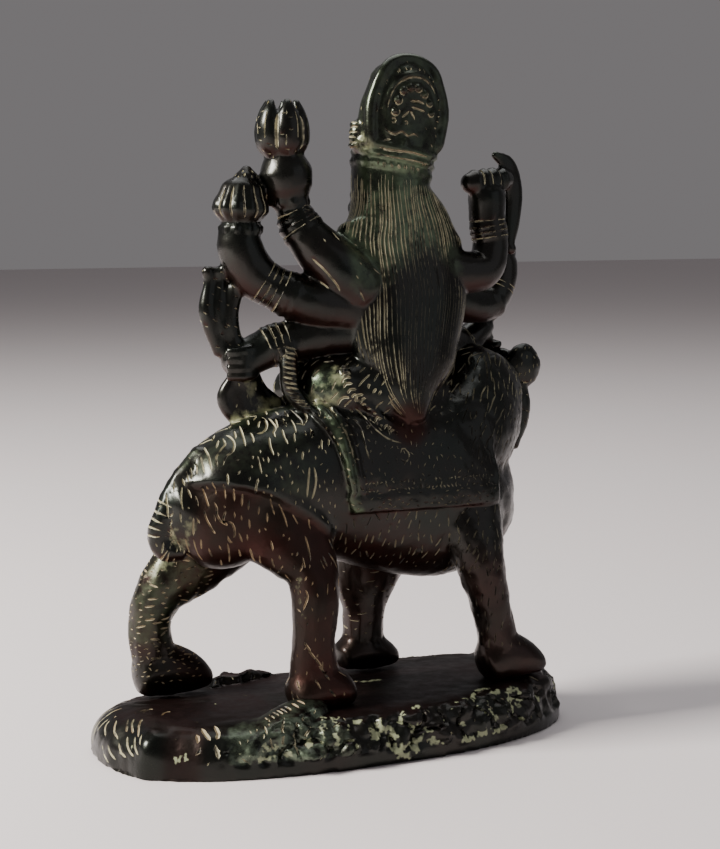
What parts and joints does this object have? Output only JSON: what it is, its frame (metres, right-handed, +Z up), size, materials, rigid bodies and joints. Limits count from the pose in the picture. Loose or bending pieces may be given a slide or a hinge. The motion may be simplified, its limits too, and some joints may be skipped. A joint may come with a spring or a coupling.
{
  "type": "brass votive statuette",
  "caption": "Many-armed goddess seated sideways on a standing lion, a dark patinated brass casting on an oval rock plinth.",
  "frame": {"origin": "middle of the plinth's flat underside, at the surface it stands on", "axes": "+Z up; the goddess faces -Y; the lion walks towards -X, with its rump at +X"},
  "size_m": [0.1106, 0.057, 0.1477],
  "materials": {
    "figure_brass": "dark green-brown patina, worn glossy on the high points, pale dirt in the cuts",
    "plinth_brass": "dark brown patina, rough rock with pale dirt in its cuts"
  },
  "bodies": {
    "root": {"durga_on_lion": "figure_brass", "rock_plinth": "plinth_brass"}
  },
  "joints": []
}
